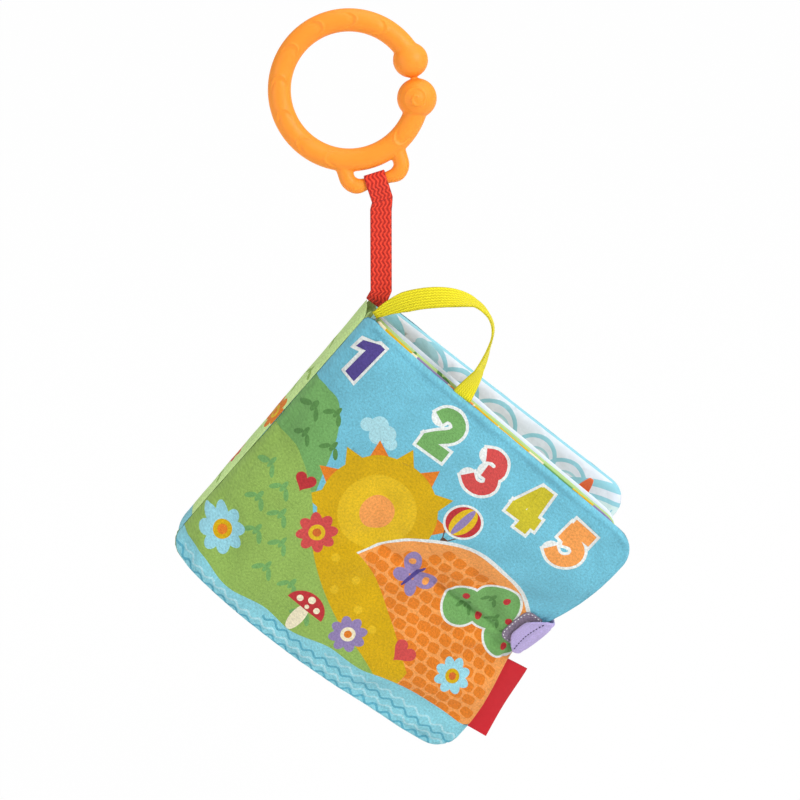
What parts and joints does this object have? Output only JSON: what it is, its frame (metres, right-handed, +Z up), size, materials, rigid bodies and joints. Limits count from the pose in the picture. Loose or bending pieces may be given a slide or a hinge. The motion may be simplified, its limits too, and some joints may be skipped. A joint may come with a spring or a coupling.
{
  "type": "baby activity book",
  "caption": "Padded cloth activity book with sewn cloth pages, a webbing handle, a closure tab and a clip ring on a strap that it hangs from.",
  "frame": {"origin": "the lowest point of the bore's top, on the inner side of the clip ring, where the rail or hook that holds the book touches it", "axes": "+Z up along gravity, -Y out of the front cover towards the reader, +X to the right seen from the front"},
  "size_m": [0.2268, 0.0661, 0.371],
  "materials": {
    "orange_plastic": "satin",
    "red_webbing": "woven webbing",
    "yellow_webbing": "woven webbing",
    "blue_velour": "short pile",
    "green_velour": "short pile",
    "lilac_velour": "short pile",
    "cream_cloth": "smooth polyester",
    "green_cloth": "smooth polyester",
    "white_cloth": "smooth polyester",
    "wadding": "polyester wadding",
    "crackling_film": "clear film",
    "orange_felt": "felt",
    "fastener_tape": "hook and loop",
    "red_satin": "satin"
  },
  "bodies": {
    "ring": {"link_ring": "orange_plastic"},
    "strap": {"hang_strap": "red_webbing"},
    "spine": {"spine_outer": "green_velour", "spine_pad": "wadding", "spine_lining": "white_cloth"},
    "front_cover": {"front_cover_outer": "blue_velour", "front_cover_pad": "wadding", "front_cover_lining": "cream_cloth", "loop_patch": "fastener_tape", "side_label": "red_satin"},
    "handle": {"handle_ribbon": "yellow_webbing"},
    "page_1": {"page_1_front": "cream_cloth", "page_1_film": "crackling_film", "page_1_back": "white_cloth"},
    "page_2": {"page_2_front": "green_cloth", "page_2_film": "crackling_film", "page_2_back": "white_cloth"},
    "page_3": {"page_3_front": "white_cloth", "page_3_film": "crackling_film", "page_3_back": "white_cloth", "page_3_felt": "orange_felt"},
    "back_cover": {"back_cover_outer": "blue_velour", "back_cover_pad": "wadding", "back_cover_lining": "white_cloth"},
    "tab": {"closure_tab": "lilac_velour", "hook_patch": "fastener_tape"}
  },
  "joints": [
    {"name": "strap_swing", "type": "hinge", "parent": "ring", "child": "strap", "pos_m": [0.01332, -0.01937, -0.06755], "axis": [-0.9548, -0.082, -0.2859], "range_deg": [-45, 45]},
    {"name": "book_swing", "type": "hinge", "parent": "strap", "child": "spine", "pos_m": [0.0107, -0.01941, -0.13016], "axis": [0.7755, 0, -0.6313], "range_deg": [-30, 30]},
    {"name": "front_cover_open", "type": "hinge", "parent": "spine", "child": "front_cover", "pos_m": [-0.04054, -0.02741, -0.19231], "axis": [-0.6313, 0, -0.7755], "range_deg": [0, 140], "deforming": ["closure_tab", "hook_patch"]},
    {"name": "page_1_turn", "type": "hinge", "parent": "spine", "child": "page_1", "pos_m": [-0.03714, -0.02271, -0.19508], "axis": [-0.627, 0, -0.779], "range_deg": [0, 51.8]},
    {"name": "page_2_turn", "type": "hinge", "parent": "spine", "child": "page_2", "pos_m": [-0.03661, -0.01941, -0.19551], "axis": [-0.6239, 0, -0.7815], "range_deg": [0, 33.6]},
    {"name": "page_3_turn", "type": "hinge", "parent": "spine", "child": "page_3", "pos_m": [-0.03677, -0.01611, -0.19538], "axis": [-0.6208, 0, -0.7839], "range_deg": [0, 15.4]},
    {"name": "back_cover_open", "type": "hinge", "parent": "spine", "child": "back_cover", "pos_m": [-0.03965, -0.01141, -0.19304], "axis": [0.6164, 0, 0.7874], "range_deg": [0, 140]},
    {"name": "tab_peel", "type": "hinge", "parent": "back_cover", "child": "tab", "pos_m": [0.09138, 0.00769, -0.2988], "axis": [0.6313, 0, 0.7755], "range_deg": [0, 120]},
    {"name": "handle_tip", "type": "hinge", "parent": "front_cover", "child": "handle", "pos_m": [0.03376, -0.03446, -0.15093], "axis": [0.7251, -0.2415, -0.6449], "range_deg": [0, 45], "stiffness_Nm_per_rad": 0.002}
  ],
  "couplings": [
    {"joint": "page_1_turn", "follows": "front_cover_open", "ratio": 0.37},
    {"joint": "page_2_turn", "follows": "front_cover_open", "ratio": 0.24},
    {"joint": "page_3_turn", "follows": "front_cover_open", "ratio": 0.11}
  ]
}
